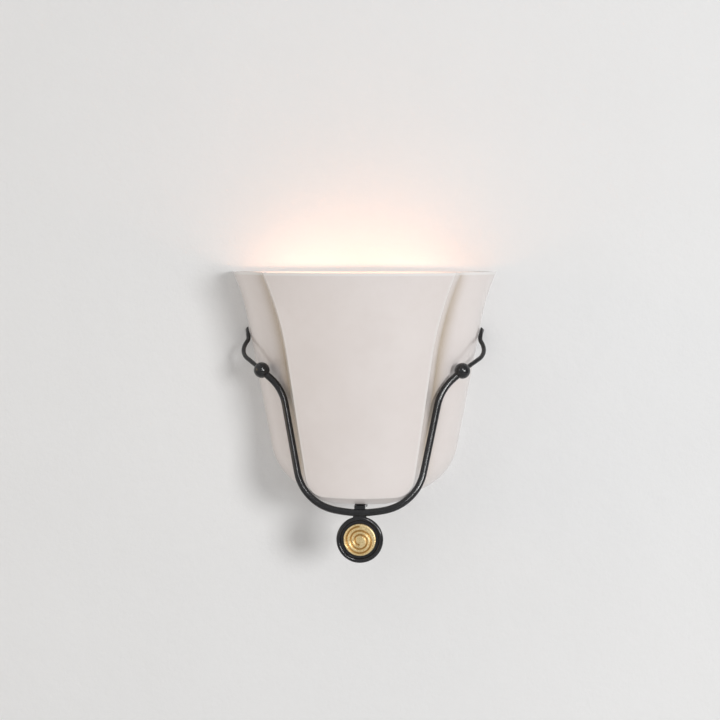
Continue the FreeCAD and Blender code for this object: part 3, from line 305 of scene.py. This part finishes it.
iron = Finish("blackened_iron")
hammered = iron.relief(iron.noise(*HAMMER_MARKS), HAMMER_DEEP)
iron.feed(Base_Color=iron.mix(iron.ramp(iron.noise(*WORN_SPOTS), 0, 1), IRON, IRON_WORN),
          Roughness=iron.ramp(iron.noise(*WAX), IRON_SMOOTH, IRON_ROUGH),
          Normal=iron.relief(iron.noise(*IRON_GRAIN), IRON_GRAIN_DEEP, hammered))
iron.on_nodes(*BLACK_IRON)

# ------------------------------------------------------------------ the medallion
# A cast disc with a spiral cut in its face, gilded, brushed and sealed. Its stud goes through
# the ring's back plate and is held by a small brass nut.
GILT, GILT_WORN, GILT_GROOVE_SHADE = (0.90, 0.66, 0.30), (0.97, 0.80, 0.48), (0.42, 0.22, 0.06)
GILT_SMOOTH, GILT_ROUGH = 0.22, 0.42
LEAF, DENTS, GILT_GRAIN = (900, 4, 0.65), (500, 3, 0.6), (3000, 2, 0.6)
DENT_DEEP, GILT_GRAIN_DEEP = 0.3 * MM, 0.04 * MM
GROOVE_DEEP, DARK_FROM, BAND_ROUND = 1.3 * MM, 0.78 * MM, 1.5 * MM

gilt = Finish("gilded_brass", Metallic=1.0)
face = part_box("medallion")[0].y
depth = gilt.node("ShaderNodeSeparateXYZ", {"Vector": gilt.where}).outputs["Y"]
# Painted shade: the gilt turns dark brown towards the bottom of the spiral groove.
sunk = gilt.ramp(depth, 0, 1, face + DARK_FROM, face + GROOVE_DEEP)
leaf = gilt.noise(*LEAF)
dented = gilt.relief(gilt.noise(*DENTS), DENT_DEEP, gilt.rounded(BAND_ROUND))
gilt.feed(Base_Color=gilt.mix(sunk, gilt.mix(gilt.ramp(leaf, 0, 1), GILT, GILT_WORN), GILT_GROOVE_SHADE),
          Roughness=gilt.ramp(leaf, GILT_SMOOTH, GILT_ROUGH),
          Normal=gilt.relief(gilt.noise(*GILT_GRAIN), GILT_GRAIN_DEEP, dented))
gilt.on_nodes("medallion")

BRASS, BRASS_TARNISHED = (0.70, 0.52, 0.24), (0.56, 0.38, 0.16)
BRASS_SMOOTH, BRASS_ROUGH = 0.24, 0.42
TARNISH, TURNING_LINES, TURNING_STRETCH, TURNING_DEEP = (300, 4, 0.6), (1500, 2, 0.5), (1, 1, 8), 0.02 * MM

brass = Finish("plain_brass", Metallic=1.0)
tarnish = brass.noise(*TARNISH)
brass.feed(Base_Color=brass.mix(brass.ramp(tarnish, 0, 1), BRASS, BRASS_TARNISHED),
           Roughness=brass.ramp(tarnish, BRASS_SMOOTH, BRASS_ROUGH),
           Normal=brass.relief(brass.noise(*TURNING_LINES, TURNING_STRETCH), TURNING_DEEP))
brass.on_nodes("medallion_nut")

# ------------------------------------------------------------------ the wall bracket
# A zinc-plated steel strip with slots for the wall box's screws. The foot bar is screwed to it.
# Its wire hole has a nylon bushing, and a green screw is there for the earth wire.
ZINC_DULL, ZINC_BRIGHT = (0.56, 0.57, 0.60), (0.70, 0.71, 0.72)
ZINC_SMOOTH, ZINC_ROUGH = 0.3, 0.48
SPANGLES, SPANGLE_FROM, SPANGLE_TO = 260.0, 0.1, 0.7
ZINC_CLOUDS, ZINC_GRAIN, ZINC_GRAIN_DEEP = (500, 3), (2600, 3, 0.6), 0.03 * MM

zinc = Finish("zinc_plated_steel", Metallic=1.0)
spangles = zinc.node("ShaderNodeTexVoronoi", {"Vector": zinc.where, "Scale": SPANGLES}).outputs["Distance"]
spangled = zinc.ramp(spangles, 0, 1, SPANGLE_FROM, SPANGLE_TO)
zinc.feed(Base_Color=zinc.mix(spangled, ZINC_DULL, ZINC_BRIGHT),
          Roughness=zinc.ramp(zinc.noise(*ZINC_CLOUDS), ZINC_SMOOTH, ZINC_ROUGH),
          Normal=zinc.relief(zinc.noise(*ZINC_GRAIN), ZINC_GRAIN_DEEP))
zinc.on_nodes("wall_bracket", "bar_screws")


def two_toned(name, dark, pale, spots, **sockets):
    """A plain finish of two close tones."""
    made = Finish(name, **sockets)
    made.feed(Base_Color=made.mix(made.noise(spots), dark, pale))
    return made


NYLON_DARK, NYLON_PALE, NYLON_SPOTS = (0.022, 0.022, 0.022), (0.04, 0.04, 0.04), 900
NYLON_GRAIN, NYLON_DEEP = 2500, 0.03 * MM
nylon = two_toned("black_nylon", NYLON_DARK, NYLON_PALE, NYLON_SPOTS, Roughness=0.5)
nylon.feed(Normal=nylon.relief(nylon.noise(NYLON_GRAIN), NYLON_DEEP))
nylon.on_nodes("wire_bushing")

GREEN_DARK, GREEN_PALE, GREEN_SPOTS = (0.02, 0.20, 0.05), (0.04, 0.30, 0.09), 1200
earth_green = two_toned("green_screw", GREEN_DARK, GREEN_PALE, GREEN_SPOTS, Metallic=0.6, Roughness=0.35)
earth_green.on_nodes("ground_screw")

# ------------------------------------------------------------------ the lamp column
# Rubber pads, a washer and a lock nut clamp the shade's floor to the foot bar round a threaded
# tube. A brass tube over it lifts the lampholder.
RUBBER_DARK, RUBBER_PALE, RUBBER_SPOTS = (0.03, 0.03, 0.03), (0.055, 0.055, 0.055), 700
RUBBER_GRAIN, RUBBER_DEEP = 1800, 0.05 * MM
rubber = two_toned("black_rubber", RUBBER_DARK, RUBBER_PALE, RUBBER_SPOTS, Roughness=0.7)
rubber.feed(Normal=rubber.relief(rubber.noise(RUBBER_GRAIN), RUBBER_DEEP))
rubber.on_nodes("foot_pad", "floor_gasket")
zinc.on_nodes("floor_washer", "lock_nut", "threaded_tube")
brass.on_nodes("riser_tube")

# ------------------------------------------------------------------ the lampholder
# A brass cap, a black phenolic shell and a porcelain disc that carries the brass screw shell,
# the middle contact and the terminal screws.
PHENOLIC_DARK, PHENOLIC_PALE, PHENOLIC_SPOTS = (0.018, 0.017, 0.016), (0.034, 0.031, 0.029), 350
PHENOLIC_GRAIN, PHENOLIC_DEEP = (900, 2), 0.04 * MM
phenolic = two_toned("black_phenolic", PHENOLIC_DARK, PHENOLIC_PALE, PHENOLIC_SPOTS, Roughness=0.34)
phenolic.feed(Normal=phenolic.relief(phenolic.noise(*PHENOLIC_GRAIN), PHENOLIC_DEEP))
phenolic.on_nodes("lampholder_shell")

PORCELAIN_DULL, PORCELAIN_PALE, PORCELAIN_SPOTS = (0.78, 0.76, 0.72), (0.86, 0.85, 0.82), 600
PORCELAIN_GRAIN, PORCELAIN_DEEP = (1500, 2), 0.05 * MM
porcelain = two_toned("porcelain", PORCELAIN_DULL, PORCELAIN_PALE, PORCELAIN_SPOTS, Roughness=0.45)
porcelain.feed(Normal=porcelain.relief(porcelain.noise(*PORCELAIN_GRAIN), PORCELAIN_DEEP))
porcelain.on_nodes("lampholder_insulator")
brass.on_nodes("lampholder_cap", "terminal_screws", "screw_shell", "middle_contact")

# ------------------------------------------------------------------ the bulb
# A clear globe with four light-giving rods round a glass stem, on a rolled aluminium screw
# base with black glass under it. Its light is warm, and the glass lets it through.
GLASS_CLEAR, GLASS_HAZY, GLASS_SPOTS = 0.01, 0.05, 300
glass = Finish("clear_glass", Transmission_Weight=1.0, IOR=1.45)
glass.feed(Roughness=glass.ramp(glass.noise(GLASS_SPOTS), GLASS_CLEAR, GLASS_HAZY))
glass.let_through(glass.node("ShaderNodeLightPath").outputs["Is Shadow Ray"])
glass.on_nodes("bulb_glass", "bulb_stem")

ROD_DARK, ROD_PALE, ROD_SPOTS = (0.9, 0.7, 0.3), (0.95, 0.8, 0.45), 900
ROD_GLOW, ROD_LIGHT = (1.0, 0.72, 0.40), 1.6
rods = two_toned("light_rods", ROD_DARK, ROD_PALE, ROD_SPOTS, Roughness=0.5, Emission_Color=ROD_GLOW,
                 Emission_Strength=ROD_LIGHT)
rods.on_nodes("bulb_filaments")

ALUMINIUM_DULL, ALUMINIUM_BRIGHT, ALUMINIUM_SPOTS = (0.62, 0.62, 0.62), (0.78, 0.78, 0.78), 500
THREAD_BANDS, THREAD_DEEP = 88.0, 0.8 * MM
base_metal = two_toned("rolled_aluminium", ALUMINIUM_DULL, ALUMINIUM_BRIGHT, ALUMINIUM_SPOTS, Metallic=1.0,
                       Roughness=0.3)
thread = base_metal.node("ShaderNodeTexWave", {"Vector": base_metal.where, "Scale": THREAD_BANDS},
                         bands_direction="Z").outputs["Fac"]
base_metal.feed(Normal=base_metal.relief(thread, THREAD_DEEP))
base_metal.on_nodes("bulb_base", "bulb_contact")

SEAL_DARK, SEAL_PALE, SEAL_SPOTS = (0.01, 0.01, 0.012), (0.02, 0.02, 0.024), 800
black_glass = two_toned("black_glass", SEAL_DARK, SEAL_PALE, SEAL_SPOTS, Roughness=0.15)
black_glass.on_nodes("bulb_seal")

# The rods' own light rises with the bulb. The light that the glaze throws back up the wall is
# a weak oblong lamp in the shade, just below its rim. It stays where it is, and neither the
# camera nor gloss nor glass shows it.
BULB_WARM, BULB_WATTS = (1.0, 0.40, 0.18), 0.11
GLAZE_WARM, GLAZE_WATTS = (1.0, 0.60, 0.41), 0.10
GLAZE_LAMP_PLACE, GLAZE_LAMP_AIM = (-0.012, -0.045, 0.1), (-0.012, -0.042, 1)
GLAZE_LAMP_WIDE, GLAZE_LAMP_DEEP = 0.2, 0.035

low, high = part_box("bulb_filaments")
glow = bpy.data.objects.new("glow", bpy.data.lights.new("glow", "POINT"))
bpy.context.scene.collection.objects.link(glow)
glow.location = (low + high) / 2
glow.data.energy, glow.data.color = BULB_WATTS, BULB_WARM
glow.data.shadow_soft_size = high.x - low.x
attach(glow, "bulb")
lit_inside = soft_lamp("lit_inside", GLAZE_LAMP_PLACE, GLAZE_LAMP_AIM, GLAZE_LAMP_WIDE, GLAZE_WATTS,
                       GLAZE_WARM, tall=GLAZE_LAMP_DEEP)
lit_inside.visible_camera = lit_inside.visible_glossy = lit_inside.visible_transmission = False
